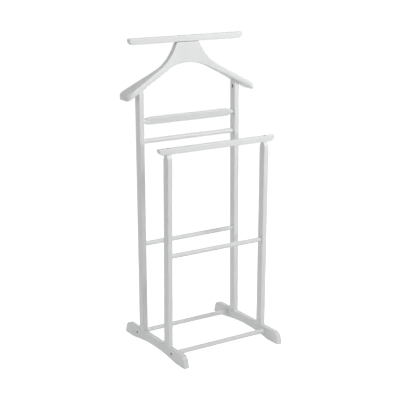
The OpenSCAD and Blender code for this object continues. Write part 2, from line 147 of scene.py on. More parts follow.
def cut(piece, cutters):
    """Takes the cutters out of the piece, and deletes them."""
    for cutter in cutters:
        tool = piece.modifiers.new("cut", "BOOLEAN")
        tool.operation = "DIFFERENCE"
        tool.solver = "MANIFOLD"
        tool.object = cutter
    settle(piece)
    for cutter in cutters:
        bpy.data.objects.remove(cutter)


def smooth(piece, sharp_deg=25):
    """Soft shading, with creases where faces meet at more than `sharp_deg`."""
    piece.data.shade_smooth()
    piece.data.set_sharp_from_angle(angle=math.radians(sharp_deg))
    weigh = piece.modifiers.new("weigh", "WEIGHTED_NORMAL")
    weigh.keep_sharp = True
    settle(piece)


print("a piece can be cut and smoothed")

# %% [markdown]
# ## Sticks and turned pieces
# Posts, bars and rungs are all a section carried along a straight line. The section is a rectangle
# with round corners: when its corner radius is half its width it is a circle, so a rung and a post
# differ only in numbers. Each station along the line has its own centre, width, height and radius, so
# the section can shrink towards an end or change from round to flat on the way.

# %% Carry a rounded rectangle along a line
CORNER_STEPS = 6
ROD_SIDES = 24
LARGEST_CORNER = 0.9999


def stick_rings(centres, side, up, width, height, radius):
    """Rings of a rounded rectangle. On each ring, corner point = centre + side * (+-(w/2 - r) + r cos a)
    + up * (+-(h/2 - r) + r sin a), with the angle a running a quarter turn at each of the four corners.
    r stays a hair under half the width and height, so that no two points of a ring meet."""
    quarter = np.linspace(0, np.pi / 2, CORNER_STEPS + 1)
    angle = np.concatenate([quarter + k * np.pi / 2 for k in range(4)])
    across = np.repeat([1, -1, -1, 1], CORNER_STEPS + 1)
    along = np.repeat([1, 1, -1, -1], CORNER_STEPS + 1)
    centres = np.asarray(centres, float)
    w, h, r = [np.broadcast_to(np.asarray(v, float), len(centres))[:, None] for v in (width, height, radius)]
    r = np.minimum(r, np.minimum(w, h) / 2 * LARGEST_CORNER)
    a = across * (w / 2 - r) + r * np.cos(angle)
    b = along * (h / 2 - r) + r * np.sin(angle)
    bend = np.abs(np.sin(2 * angle)) * np.ones_like(a)
    points = centres[:, None, :] + a[..., None] * np.asarray(side) + b[..., None] * np.asarray(up)
    return points, bend


def stick(name, centres, side, up, width, height, radius, round_edges=True):
    """A closed stick: the rings of a rounded rectangle, with quads between them and a face at each end."""
    points, bend = stick_rings(centres, side, up, width, height, radius)
    rings, around = points.shape[:2]
    edge = bend.ravel() if round_edges else np.zeros(rings * around)
    return mesh_piece(name, points.reshape(-1, 3), closed_faces(rings, around), edge)


def rod(name, mouth, run, depths, radii):
    """A cutter that starts at `mouth` and goes along `run`: circles mouth + depth * run
    + r (cos a, sin a), where each depth has its own r. Its faces carry the attribute bore, where the paint
    puts a near-black painted shade."""
    run = np.asarray(run, float)
    helper = np.array([0, 0, 1.0]) if abs(run[2]) < 0.9 else np.array([1.0, 0, 0])
    side = np.cross(run, helper)
    side /= np.linalg.norm(side)
    a = np.linspace(0, 2 * np.pi, ROD_SIDES, endpoint=False)
    circle = np.outer(np.cos(a), side) + np.outer(np.sin(a), np.cross(run, side))
    r = np.array(radii) * np.ones(len(depths))
    rings = np.asarray(mouth, float) + np.outer(depths, run)[:, None] + r[:, None, None] * circle
    cutter = mesh_piece(name, rings.reshape(-1, 3), closed_faces(len(depths), ROD_SIDES),
                        np.zeros(len(depths) * ROD_SIDES))
    inside = cutter.data.attributes.new("bore", "FLOAT", "FACE").data
    inside.foreach_set("value", np.ones(len(inside), np.float32))
    return cutter


print("a section has", 4 * (CORNER_STEPS + 1), "points")

# %% [markdown]
# ## Boards with shaped outlines
# A foot or the hanger is sawn from a board, and a router then runs round its edges. Its outline is two
# curves, a lower and an upper one, with the same number of points. Pairing them by number gives clean
# quads across the broad faces. At each face the outline steps inwards along a quarter circle, which is
# the router's round-over. The depth of a face may change along the board, as on a carved hanger.

# %% Build a board between a lower and an upper curve
def arc(centre, radius, start_deg, end_deg, count):
    """Points on a circle: centre + radius (cos a, sin a), from one angle to another."""
    a = np.radians(np.linspace(start_deg, end_deg, count))
    return np.stack([centre[0] + radius * np.cos(a), centre[1] + radius * np.sin(a)], -1)


def spread(parts, count):
    """`count` points at equal distances along the parts joined end to end. Repeated points are left out."""
    path = np.concatenate(parts)
    step = np.linalg.norm(np.diff(path, axis=0), axis=1)
    moves = step > 1e-9
    path = path[np.concatenate([[True], moves])]
    run = np.concatenate([[0], np.cumsum(step[moves])])
    at = np.linspace(0, run[-1], count)
    return np.stack([np.interp(at, run, path[:, 0]), np.interp(at, run, path[:, 1])], -1)


MIRROR = np.array([-1, 1])


def unfold(half, flip=1):
    """Values from the middle of a piece to its right end, carried over to the left: the half backwards
    and times `flip`, then the half again without its first value. `flip` is MIRROR for points, -1 for
    places along the piece, and 1 for sizes."""
    return np.concatenate([(half * flip)[::-1], half[1:]])


def inward(outline):
    """Unit vectors into a closed outline that runs anticlockwise: its tangent, turned a quarter left."""
    tangent = np.roll(outline, -1, 0) - np.roll(outline, 1, 0)
    tangent /= np.linalg.norm(tangent, axis=1)[:, None]
    return np.stack([-tangent[:, 1], tangent[:, 0]], -1)


def board(name, lower, upper, near, far, near_r, far_r, place, steps=6):
    """A board whose outline runs along `lower` and back along `upper`. near(u) and far(u) give the
    depth of its two faces, and near_r and far_r the round-over at each outline point. At angle s, a ring
    steps in by r (1 - sin s) and back by r (1 - cos s). place(u, v, depth) turns that into X, Y, Z."""
    outline = np.concatenate([lower, upper[::-1]])
    into = inward(outline)
    count = len(outline)
    near_r = np.broadcast_to(near_r, count)
    far_r = np.broadcast_to(far_r, count)
    turn = np.linspace(0, np.pi / 2, steps + 1)
    rings, edge = [], []
    for face, radius, back, angles in ((near, near_r, 1, turn), (far, far_r, -1, turn[::-1])):
        for s in angles:
            flat = outline + into * (radius * (1 - np.sin(s)))[:, None]
            rings.append(place(flat[:, 0], flat[:, 1], face(flat[:, 0]) + back * radius * (1 - np.cos(s))))
            edge.append(np.full(count, math.sin(2 * s)))
    faces = ring_faces(len(rings), count)
    # Quads across both faces, from each pair of points on the lower curve to the same pair above.
    pair = np.arange(count // 2 - 1)
    strip = np.stack([pair, pair + 1, count - 2 - pair, count - 1 - pair], -1)
    faces += strip[:, ::-1].tolist()
    faces += (strip + (len(rings) - 1) * count).tolist()
    return mesh_piece(name, np.concatenate(rings), faces, np.concatenate(edge))


print("a quarter circle of 3 points:", arc((0, 0), 1, 0, 90, 3).round(3).tolist())

# %% [markdown]
# ## Sizes that the CAD model gives
# The places of all pieces are read from the boxes of the CAD nodes, so the looks can't drift away from
# the model. A node's box gives its lowest and highest corner.

# %% Read the boxes
def low(node):
    """The lowest corner of a node's box."""
    return np.array(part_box(node)[0])


def high(node):
    """The highest corner of a node's box."""
    return np.array(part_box(node)[1])


half_w = high("right_foot")[0]
foot_top = high("right_foot")[2]
foot_end = high("right_foot")[1]
foot_in = low("right_foot")[0]
post_in = low("rear_right_post")[0]
post_w = half_w - post_in
post_x = (half_w + post_in) / 2
SPLAY = math.radians(0.5)
POST_D = 28 * MM
FOOT_PIN_R = 3 * MM
FOOT_PIN_BEHIND_POST = 7 * MM
post_y = high("foot_dowel_pins")[1] - FOOT_PIN_R - FOOT_PIN_BEHIND_POST


def lean(z):
    """Distance of a post's centre line from the middle plane Y = 0 at height z."""
    return post_y + math.tan(SPLAY) * (z - foot_top)


print("posts at x +-%.4f m and y +-%.4f m on the feet" % (post_x, post_y))

# %% [markdown]
# ## The feet
# Each foot is sawn from a board 19 mm thick. A wide arch under it leaves two flat pads, so the stand
# doesn't rock. Its ends slope inwards, with a large round above and a small one below. The outline is
# drawn in Y and height, and the two curves meet halfway up each sloping end.

# %% Draw a foot's outline
FOOT_R = 2 * MM
PAD = 56 * MM
NOSE_R = 22 * MM
TOE_R = 4 * MM
END_LEAN = 16
ARCH_RISE = 12.5 * MM
HAIR = 1e-5


def foot_curves():
    """Lower and upper curve from the front to the back: half of each, mirrored in Y. Both end halfway up
    the sloping end, a hair apart."""
    lean_rad = math.radians(END_LEAN)
    toe = np.array([foot_end - TOE_R, TOE_R])
    nose_z = foot_top - NOSE_R
    # The sloping line touches both rounds, so square to it their centres lie NOSE_R - TOE_R apart.
    nose_in = (NOSE_R - TOE_R + (nose_z - toe[1]) * math.sin(lean_rad)) / math.cos(lean_rad)
    nose = np.array([toe[0] - nose_in, nose_z])
    toe_arc = arc(toe, TOE_R, -90, END_LEAN, 9)
    nose_arc = arc(nose, NOSE_R, 90, END_LEAN, 17)
    middle = (toe_arc[-1] + nose_arc[-1]) / 2
    pad_in = foot_end - PAD
    arch_r = (pad_in ** 2 + ARCH_RISE ** 2) / (2 * ARCH_RISE)
    reach = math.degrees(math.asin(pad_in / arch_r))
    arch = arc((0, ARCH_RISE - arch_r), arch_r, 90, 90 - reach, 30)
    lower = np.concatenate([spread([arch], 30), spread([np.array([[pad_in, 0], toe_arc[0]])], 12)[1:],
                            toe_arc[1:], spread([np.array([toe_arc[-1], middle - [0, HAIR]])], 3)[1:]])
    top = np.array([[0, foot_top], nose_arc[0]])
    upper = np.concatenate([spread([top], len(lower) - len(nose_arc) - 1), nose_arc[1:],
                            spread([np.array([nose_arc[-1], middle + [0, HAIR]])], 3)[1:]])
    return unfold(lower, MIRROR), unfold(upper, MIRROR)


foot_lower, foot_upper = foot_curves()
print("a foot's curves have", len(foot_lower), "and", len(foot_upper), "points")

# %% Make both feet, with their screw recesses and bolt pockets
RECESS_DEPTHS = (-1 * MM, 1.5 * MM, 6 * MM)
RECESS_RADII = (3.8 * MM, 3.8 * MM, 2 * MM)
WASHER_R = 6 * MM
BOLT_POCKET_R = 6.5 * MM


def level(depth):
    """A board's face that keeps one depth all along."""
    return lambda u: np.full_like(u, depth)


rung_row = (high("rear_lower_rung")[1] + low("rear_lower_rung")[1]) / 2
lower_rung_z = (high("rear_lower_rung")[2] + low("rear_lower_rung")[2]) / 2
bolt_rows = (low("bolt_washers")[1] + WASHER_R, high("bolt_washers")[1] - WASHER_R)
bolt_top = high("bolt_washers")[2]
pieces = {}
for name, side in (("left_foot", -1), ("right_foot", 1)):
    inner = side * foot_in
    outer = side * half_w
    foot = board("foot_" + name.removesuffix("_foot"), foot_lower, foot_upper,
                 level(min(inner, outer)), level(max(inner, outer)), FOOT_R, FOOT_R,
                 lambda u, v, depth: np.stack([depth, u, v], -1))
    holes = []
    for y in (-rung_row, rung_row):
        holes.append(rod("recess", (outer, y, lower_rung_z), (-side, 0, 0), RECESS_DEPTHS, RECESS_RADII))
    for y in bolt_rows:
        holes.append(rod("pocket", (side * post_x, y, 0), (0, 0, 1), (-MM, bolt_top), BOLT_POCKET_R))
    cut(foot, holes)
    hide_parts(name)
    pieces[name] = foot
print("feet reach from y", round(-foot_end, 4), "to", round(foot_end, 4))

# %% [markdown]
# ## The posts
# Four slim posts stand on the feet and lean outwards by half a degree. The front ones end in a rounded
# shoulder under the rail, so their depth shrinks along an arc over the last 22 mm. The rear ones run on
# up to the hanger and are cut at the slope of its arms, so their last ring is tilted. They stop a
# millimetre short of it, which shows as the dark line of a joint. On its inner side each rear post has
# a socket for a pin of the swivel bar, and above it a pocket for the screw that holds the hanger.

# %% Make the front posts
EDGE_R = 1.5 * MM
SHOULDER_H = 22 * MM
SHOULDER_FLAT = 10 * MM
front_top = low("front_rail")[2]
shoulder_in = (POST_D - SHOULDER_FLAT) / 2
shoulder_r = (shoulder_in ** 2 + SHOULDER_H ** 2) / (2 * shoulder_in)
for name, side in (("front_left_post", -1), ("front_right_post", 1)):
    rise = np.concatenate([np.linspace(foot_top, front_top - SHOULDER_H, 24),
                           front_top - SHOULDER_H * (1 - np.linspace(0, 1, 13)[1:])])
    climb = np.clip(rise - front_top + SHOULDER_H, 0, None)
    depth = POST_D - 2 * (shoulder_r - np.sqrt(shoulder_r ** 2 - climb ** 2))
    centres = np.stack([np.full_like(rise, side * post_x), -lean(rise), rise], -1)
    post = stick("post_" + name.removesuffix("_post"), centres, (1, 0, 0), (0, 1, 0), post_w, depth, EDGE_R)
    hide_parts(name)
    pieces[name] = post
print("front posts end at", round(front_top, 4), "m with", round(float(depth[-1]), 4), "m of depth left")

# %% Make the rear posts
ARM_SLOPE = math.radians(28)
JOINT_GAP = 1.1 * MM
SCREW_POCKET_R = 3.3 * MM
SCREW_POCKET_DEPTHS = (9 * MM, 48 * MM)
PIN_SOCKET_R = 8.33 * MM
PIN_SOCKET_DEPTHS = (-MM, 11 * MM)
SLOPED_END = 20 * MM
square_to_arm = np.array([math.sin(ARM_SLOPE), 0, math.cos(ARM_SLOPE)])
pin_box = np.array(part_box("swivel_bar"))
swivel_z = pin_box[:, 2].mean()
swivel_y = pin_box[:, 1].mean()
joint_z = high("rear_right_post")[2] - math.tan(ARM_SLOPE) * post_w / 2
for name, side in (("rear_left_post", -1), ("rear_right_post", 1)):
    rise = np.linspace(foot_top, joint_z - SLOPED_END, 30)
    centres = np.stack([np.full_like(rise, side * post_x), lean(rise), rise], -1)
    rings, bend = stick_rings(centres, (1, 0, 0), (0, 1, 0), post_w, POST_D, EDGE_R)
    last = rings[-1].copy()
    last[:, 2] = joint_z - JOINT_GAP - math.tan(ARM_SLOPE) * (side * last[:, 0] - post_x)
    last[:, 1] += lean(last[:, 2]) - lean(rise[-1])
    rings = np.concatenate([rings, last[None]])
    bend = np.concatenate([bend, bend[-1:]])
    post = mesh_piece("post_" + name.removesuffix("_post"), rings.reshape(-1, 3),
                      closed_faces(*rings.shape[:2]), bend.ravel())
    seat = (side * post_x, lean(joint_z), joint_z)
    eye = (side * post_in, swivel_y, swivel_z)
    cut(post, [rod("pocket", seat, -square_to_arm * [side, 1, 1], SCREW_POCKET_DEPTHS, SCREW_POCKET_R),
               rod("socket", eye, (side, 0, 0), PIN_SOCKET_DEPTHS, PIN_SOCKET_R)])
    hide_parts(name)
    pieces[name] = post
print("rear posts meet the hanger at z", round(joint_z, 4))

# %% [markdown]
# ## The rungs
# The rungs are dowels 16.5 mm thick, glued into blind holes. Paint fills the narrow gap round each one
# with a small bead. A rung is a stick whose section is a circle, and its radius grows by a fraction of
# a millimetre over the last bit before the post to draw that bead.

# %% Make the five rungs
BEAD = 0.5 * MM
BEAD_STEPS = np.array([1.2, 0.8, 0.5, 0.3, 0.15, 0.0]) * MM


def rung(name, node, wall_x):
    """A dowel along X that meets a wall at +-wall_x. Its radius grows by BEAD (1 - d / D)^2, where d is
    the distance to the wall and D the length of the bead, the first of BEAD_STEPS."""
    box = np.array(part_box(node))
    radius = (box[1, 2] - box[0, 2]) / 2
    reach = box[1, 0]
    half = np.concatenate([np.linspace(0, wall_x - 2 * MM, 20), wall_x - BEAD_STEPS,
                           [wall_x + MM, reach]])
    swell = BEAD * np.clip(1 - (wall_x - half) / BEAD_STEPS[0], 0, 1) ** 2
    swell[-2:] = 0
    x = unfold(half, -1)
    r = radius + unfold(swell)
    centre = box.mean(0)
    centres = np.stack([x, np.full_like(x, centre[1]), np.full_like(x, centre[2])], -1)
    piece = stick(name, centres, (0, 1, 0), (0, 0, 1), 2 * r, 2 * r, r, round_edges=False)
    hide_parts(node)
    return piece


for node, wall_x in (("rear_lower_rung", foot_in), ("front_lower_rung", foot_in),
                     ("rear_middle_rung", post_in), ("front_middle_rung", post_in), ("upper_rung", post_in)):
    pieces[node] = rung("dowel_" + node.removesuffix("_rung"), node, wall_x)
print("made", len([n for n in pieces if n.endswith("rung")]), "rungs")

# %% [markdown]
# ## The swivel bar
# A flat bar hangs between the rear posts on two round pins, so it turns when trousers are pulled over
# it. It is left with its upper edge leaning to the front by 20 degrees. The section starts as the pin's
# circle, swells into a flat rectangle over a short neck, and the ends of the flat part are round in the
# front view.

# %% Make the swivel bar
TILT = math.radians(20)
FLAT_H = 28 * MM
FLAT_T = 11 * MM
FLAT_R = 30 * MM
PIN_R = 8.25 * MM
PIN_TAPER = 20 * MM
PIN_CHAMFER = 1.2 * MM
FLAT_EDGE_R = 3.6 * MM
NECK_L = 11 * MM
flat_end = post_in - NECK_L
pin_end = pin_box[1, 0]
out = np.concatenate([np.linspace(0, flat_end - FLAT_R, 16),
                      flat_end - FLAT_R * (1 - np.sin(np.linspace(0, 1, 11)[1:] * np.pi / 2)),
                      [flat_end + 0.4 * MM, post_in, pin_end - 0.8 * MM, pin_end]])
flat = out <= flat_end
corner = np.clip(out - (flat_end - FLAT_R), 0, FLAT_R)
fall = np.sqrt(1 - (corner / FLAT_R) ** 2)
tall = np.where(flat, 2 * PIN_R + (FLAT_H - 2 * PIN_R) * fall, 2 * PIN_R)
swell = np.clip((out - (flat_end - PIN_TAPER)) / PIN_TAPER, 0, 1)
swell = swell * swell * (3 - 2 * swell)
thick = np.where(flat, FLAT_T + (2 * PIN_R - FLAT_T) * swell, 2 * PIN_R)
soft = np.where(flat, FLAT_EDGE_R + (PIN_R - FLAT_EDGE_R) * swell, PIN_R)
tall[-1] -= PIN_CHAMFER
thick[-1] -= PIN_CHAMFER
x = unfold(out, -1)
centres = np.stack([x, np.full_like(x, swivel_y), np.full_like(x, swivel_z)], -1)
swivel = stick("turning_bar", centres, (0, math.cos(TILT), math.sin(TILT)),
               (0, -math.sin(TILT), math.cos(TILT)), unfold(thick), unfold(tall), unfold(soft))
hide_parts("swivel_bar")
pieces["swivel_bar"] = swivel
print("swivel bar's flat part is", round(2 * flat_end, 4), "m long")

# %% [markdown]
# ## The rail and the top bar
# Both bars have a square section with softly rounded long edges. Their lower corners are cut to a round,
# so that cloth slides over them. Along the bar the section keeps its upper edge, while its lower edge
# climbs an arc at each end.

# %% Make the rail and the top bar
BAR_EDGE_R = 3 * MM
RIM_EASE = (0.25 * MM, 0.8 * MM)
SCREW_HEAD_R = 3.75 * MM


def bar(name, node, end_r, screw_x):
    """A bar along X. Near an end its lower edge is z0 + R - sqrt(R^2 - s^2), s being how far a section
    has gone into the end's arc; the last millimetre eases the end's rim."""
    box = np.array(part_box(node))
    half = box[1, 0]
    s = end_r * np.sin(np.linspace(0, 1, 13) * np.pi / 2)
    x = np.concatenate([np.linspace(0, half - end_r, 20)[:-1], half - end_r + s])
    climb = end_r - np.sqrt(np.clip(end_r ** 2 - np.clip(x - half + end_r, 0, end_r) ** 2, 0, None))
    ease = np.zeros_like(x)
    ease[-2:] = RIM_EASE
    lower = box[0, 2] + climb + ease
    upper = box[1, 2] - ease
    deep = box[1, 1] - box[0, 1] - 2 * ease
    x = unfold(x, -1)
    lower, upper, deep = [unfold(v) for v in (lower, upper, deep)]
    middle_y = box[:, 1].mean()
    centres = np.stack([x, np.full_like(x, middle_y), (lower + upper) / 2], -1)
    piece = stick(name, centres, (0, 1, 0), (0, 0, 1), deep, upper - lower, BAR_EDGE_R)
    holes = []
    for sx in (-screw_x, screw_x):
        holes.append(rod("recess", (sx, middle_y, box[1, 2]), (0, 0, -1), RECESS_DEPTHS, RECESS_RADII))
    cut(piece, holes)
    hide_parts(node)
    return piece


bar_screw_x = high("top_bar_screws")[0] - SCREW_HEAD_R
pieces["front_rail"] = bar("rail_front", "front_rail", end_r=17 * MM, screw_x=post_x)
pieces["top_bar"] = bar("bar_top", "top_bar", end_r=12 * MM, screw_x=bar_screw_x)
print("bars are", round(2 * high("front_rail")[0], 4), "and", round(2 * high("top_bar")[0], 4), "m long")

# %% [markdown]
# ## The hanger
# The hanger is carved from one thick board. Seen from above, each arm turns forward from the neck, and
# its back is hollowed out and then flares to the rear, so that the tips are three times as deep as the
# neck and carry a jacket like shoulders. From the front, the underside is an arch that runs on into
# straight sloping arms, and hollow curves lead up to the neck under the top bar.

# %% Draw the hanger's outline
ARM_T = 22 * MM
ARCH_R = 172 * MM
NECK_R = 156 * MM
TIP_FRONT_R = 33 * MM
TIP_BACK_R = 26 * MM
TIP_STOP = 3
ARCH_BELOW_TOP = 69.5 * MM
NECK_HALF = 44.5 * MM
NECK_CORNER_R = 3.5 * MM
NECK_CORNER_IN = 3.8 * MM
CORNER_TO_HOLLOW = 0.8 * MM
hang_high = high("hanger")
neck_top = hang_high[2]
along = np.array([math.cos(ARM_SLOPE), -math.sin(ARM_SLOPE)])
square_to = np.array([math.sin(ARM_SLOPE), math.cos(ARM_SLOPE)])
arch_c = np.array([0, neck_top - ARCH_BELOW_TOP - ARCH_R])
arm_foot = arch_c + ARCH_R * square_to
arm_head = arm_foot + ARM_T * square_to
tip_x = hang_high[0] - ARM_T / 2
tip_c = arm_foot + square_to * ARM_T / 2
tip_c = tip_c + along * (tip_x - tip_c[0]) / along[0]
neck_corner = np.array([NECK_HALF, neck_top])
# The hollow is a circle through the neck's corner that touches the arm's upper line. Where the corner
# lies h above that line, the circle touches it sqrt(2 R h - h^2) further along.
corner_up = (neck_corner - arm_head) @ square_to
corner_along = (neck_corner - arm_head) @ along
neck_touch = arm_head + along * (corner_along + math.sqrt(2 * NECK_R * corner_up - corner_up ** 2))
neck_c = neck_touch + square_to * NECK_R
print("an arm's hollow curve starts at", neck_touch.round(4), "and the tip's round is at", tip_c.round(4))


def hanger_curves():
    """Lower and upper curve from the left tip to the right one: half of each, mirrored in X. The lower one
    is the arch and the straight arm, the upper one the neck, its corner, the hollow and the arm. Both
    end on the tip's round, a few degrees apart."""
    slope = math.degrees(ARM_SLOPE)
    arch = arc(arch_c, ARCH_R, 90, 90 - slope, 40)
    start = math.degrees(math.atan2(*(neck_corner - neck_c)[::-1])) % 360
    hollow = arc(neck_c, NECK_R, start, 270 - slope, 50)
    under_touch = neck_touch - square_to * ARM_T
    lower_end = tip_c - square_to * ARM_T / 2
    upper_end = tip_c + square_to * ARM_T / 2
    # The arch's first points pair with the neck's, and the others with the hollow's.
    split = np.searchsorted(arch[:, 0], 0.9 * neck_corner[0])
    corner_c = neck_corner - [NECK_CORNER_IN, NECK_CORNER_R + JOINT_GAP]
    round_corner = arc(corner_c, NECK_CORNER_R, 90, 16, 6)
    below = hollow[hollow[:, 1] < round_corner[-1][1] - CORNER_TO_HOLLOW]
    lower = np.concatenate([spread([arch[:split + 1]], 15),
                            spread([arch[split:], [under_touch]], 50)[1:],
                            spread([[under_touch, lower_end]], 26)[1:],
                            arc(tip_c, ARM_T / 2, 270 - slope, 360 - TIP_STOP, 12)[1:]])
    upper = np.concatenate([spread([[[0, neck_top - JOINT_GAP], round_corner[0]]], 9), round_corner[1:],
                            spread([below], 50)[:-1], [neck_touch],
                            spread([[neck_touch, upper_end]], 26)[1:],
                            arc(tip_c, ARM_T / 2, 90 - slope, TIP_STOP, 12)[1:]])
    return unfold(lower, MIRROR), unfold(upper, MIRROR)


hanger_lower, hanger_upper = hanger_curves()
print("the hanger's curves have", len(hanger_lower), "and", len(hanger_upper), "points")

# %% Make the hanger
UPPER_R = (3.5 * MM, 7.8 * MM)
LOWER_R = (3.0 * MM, 8.8 * MM)
BACK_R = 1.8 * MM
NECK_T = 20 * MM
back_y = (low("top_bar")[1] + high("top_bar")[1]) / 2 + NECK_T / 2
FORWARD = math.tan(math.radians(10.8))
FLARE = math.tan(math.radians(7.8))
FRONT_TURN = (42 * MM, 28 * MM)
BACK_TURN = (44 * MM, 28 * MM)
BACK_HOLLOW = (115 * MM, 33 * MM)
GROW_FROM = 60 * MM
GROW_OVER = 150 * MM


def ramp(u, start, half):
    """0 before start and u - start after it, joined by a parabola over half a stretch on each side."""
    d = np.clip(np.abs(u) - start + half, 0, 2 * half)
    return d ** 2 / (4 * half) + np.clip(np.abs(u) - start - half, 0, None)


def tip_round(u, radius):
    """How far a face draws back near a tip, where the corner in plan is a quarter circle."""
    s = np.clip(np.abs(u) - (hang_high[0] - radius), 0, radius)
    return radius - np.sqrt(radius ** 2 - s ** 2)


def hanger_front(u):
    """Level with the neck, then a line that runs forward along the arm."""
    return back_y - NECK_T - FORWARD * ramp(u, *FRONT_TURN) + tip_round(u, TIP_FRONT_R)


def hanger_back(u):
    """The same line as the front's, then a hollow, and from there a line that flares to the rear."""
    bent = back_y - FORWARD * ramp(u, *BACK_TURN)
    return bent + (FORWARD + FLARE) * ramp(u, *BACK_HOLLOW) - tip_round(u, TIP_BACK_R)


def grow(u, radii):
    """A round-over that grows along an arm, from the first radius at the neck to the second at the tip."""
    t = np.clip((np.abs(u) - GROW_FROM) / GROW_OVER, 0, 1)
    return radii[0] + (radii[1] - radii[0]) * t * t * (3 - 2 * t)


front_r = np.concatenate([grow(hanger_lower[:, 0], LOWER_R), grow(hanger_upper[::-1, 0], UPPER_R)])
hanger = board("coat_hanger", hanger_lower, hanger_upper, hanger_front, hanger_back, front_r, BACK_R,
               lambda u, v, depth: np.stack([u, depth, v], -1))
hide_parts("hanger")
pieces["hanger"] = hanger
print("hanger is", round(2 * hang_high[0], 4), "m wide")

# %% Smooth every wooden piece and let it ride
for node, piece in pieces.items():
    smooth(piece)
    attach(piece, "swivel" if node == "swivel_bar" else "frame")
triangles = {n: sum(len(p.vertices) - 2 for p in o.data.polygons) for n, o in pieces.items()}
print("triangles:", sum(triangles.values()), "in all, at most", max(triangles.values()), "in one piece")

# %% [markdown]
# ## Helpers for materials
# A material in Blender is a small network of nodes. A few helpers keep the recipes readable: they add a
# node and fill its sockets by name, do arithmetic, carry a value to another range, and blend colours. An
# effect that several materials share becomes a node group, which is a network with named inputs and
# outputs, built once and used often.

# %% Add nodes in few words
def fill(tree, socket, value):
    """Links a socket to another node's output, or gives it a plain value."""
    if isinstance(value, bpy.types.NodeSocket):
        tree.links.new(value, socket)
    else:
        socket.default_value = value


def add(tree, kind, options=None, **sockets):
    """A node of `kind`. `options` are its settings; a socket's name has _ for each space."""
    node = tree.nodes.new("ShaderNode" + kind)
    for key, value in (options or {}).items():
        setattr(node, key, value)
    for key, value in sockets.items():
        fill(tree, node.inputs[key.replace("_", " ")], value)
    return node


def maths(tree, operation, *values):
    """One step of arithmetic on its values."""
    node = tree.nodes.new("ShaderNodeMath")
    node.operation = operation
    for k, value in enumerate(values):
        fill(tree, node.inputs[k], value)
    return node.outputs[0]


def between(tree, value, low_in, high_in, low_out=0.0, high_out=1.0):
    """The value carried from one range to another, and held inside it."""
    node = add(tree, "MapRange", None, Value=value, From_Min=low_in, From_Max=high_in,
               To_Min=low_out, To_Max=high_out)
    return node.outputs[0]


def weighed(tree, share, a, b):
    """share * a + (1 - share) * b."""
    return maths(tree, "ADD", maths(tree, "MULTIPLY", a, share), maths(tree, "MULTIPLY", b, 1 - share))


def noise(tree, place, scale, detail, **sockets):
    """A random value that changes softly from point to point, and faster with a larger scale."""
    return add(tree, "TexNoise", None, Vector=place, Scale=scale, Detail=detail, **sockets).outputs[0]


def stretched(tree, place, scale):
    """Coordinates times `scale`: a small factor along an axis draws a pattern out along it."""
    return add(tree, "Mapping", None, Vector=place, Scale=scale).outputs[0]


def blend_colour(tree, factor, a, b):
    """Colour a where the factor is 0, and b where it is 1."""
    node = tree.nodes.new("ShaderNodeMix")
    node.data_type = "RGBA"
    for k, value in ((0, factor), (6, a), (7, b)):
        fill(tree, node.inputs[k], value)
    return node.outputs[2]


print("node helpers ready")

# %% Make groups and materials
def group(name, inputs, outputs):
    """A new node group. `inputs` maps a name to a socket kind and a default value."""
    tree = bpy.data.node_groups.new(name, "ShaderNodeTree")
    for key, (kind, value) in inputs.items():
        socket = tree.interface.new_socket(name=key, in_out="INPUT", socket_type="NodeSocket" + kind)
        if value is not None:
            socket.default_value = value
    for key, kind in outputs.items():
        tree.interface.new_socket(name=key, in_out="OUTPUT", socket_type="NodeSocket" + kind)
    return tree, tree.nodes.new("NodeGroupInput").outputs, tree.nodes.new("NodeGroupOutput").inputs


def use(tree, made, **sockets):
    """Places a group in a tree and fills its sockets."""
    node = tree.nodes.new("ShaderNodeGroup")
    node.node_tree = made
    for key, value in sockets.items():
        fill(tree, node.inputs[key.replace("_", " ")], value)
    return node.outputs


def new_material(name):
    """A material, its network, and the shader that it starts with."""
    material = bpy.data.materials.new(name)
    material.use_nodes = True
    return material, material.node_tree, material.node_tree.nodes["Principled BSDF"]


print("materials so far:", len(bpy.data.materials))

# %% [markdown]
# ## Grain under paint
# Beech has fine, short pores and wide, soft growth bands. Paint fills most of them, yet both still show
# as a faint relief along the wood. The group takes coordinates in which X runs along the grain, squeezes
# them in that direction, and mixes two noises: broad bands bent by a slow wave, and narrow pores.

# %% The wood grain group
grain, grain_in, grain_out = group(
    "wood grain", {"Vector": ("Vector", None), "Bands": ("Float", 90.0), "Pores": ("Float", 1400.0)},
    {"Relief": "Float", "Band": "Float", "Pore": "Float"})
long_way = stretched(grain, grain_in["Vector"], (0.05, 1.0, 1.0))
bent = add(grain, "TexNoise", None, Vector=long_way, Scale=60.0, Detail=2.0).outputs[1]
push = add(grain, "VectorMath", {"operation": "SCALE"}, Vector=bent, Scale=0.012).outputs[0]
swayed = add(grain, "VectorMath", {"operation": "ADD"}).outputs[0]
fill(grain, swayed.node.inputs[0], long_way)
fill(grain, swayed.node.inputs[1], push)
band = noise(grain, swayed, grain_in["Bands"], 3.0, Roughness=0.55)
short = stretched(grain, grain_in["Vector"], (0.09, 1.0, 1.0))
pit = between(grain, noise(grain, short, grain_in["Pores"], 1.0), 0.28, 0.42)
fill(grain, grain_out["Band"], band)
fill(grain, grain_out["Pore"], maths(grain, "SUBTRACT", 1.0, pit))
fill(grain, grain_out["Relief"], weighed(grain, 0.6, band, pit))
print("grain group has", len(grain.nodes), "nodes")

# %% [markdown]
# ## Brush marks and worn edges
# Satin paint levels out, but a brush leaves long shallow ridges along the piece and a fine stipple
# between them. On sharp edges paint draws thin and rubs off first. The mesh carries an attribute named
# edge, 1 in the middle of each rounded edge, so the wear group knows where to look, and a noise breaks
# the line up.

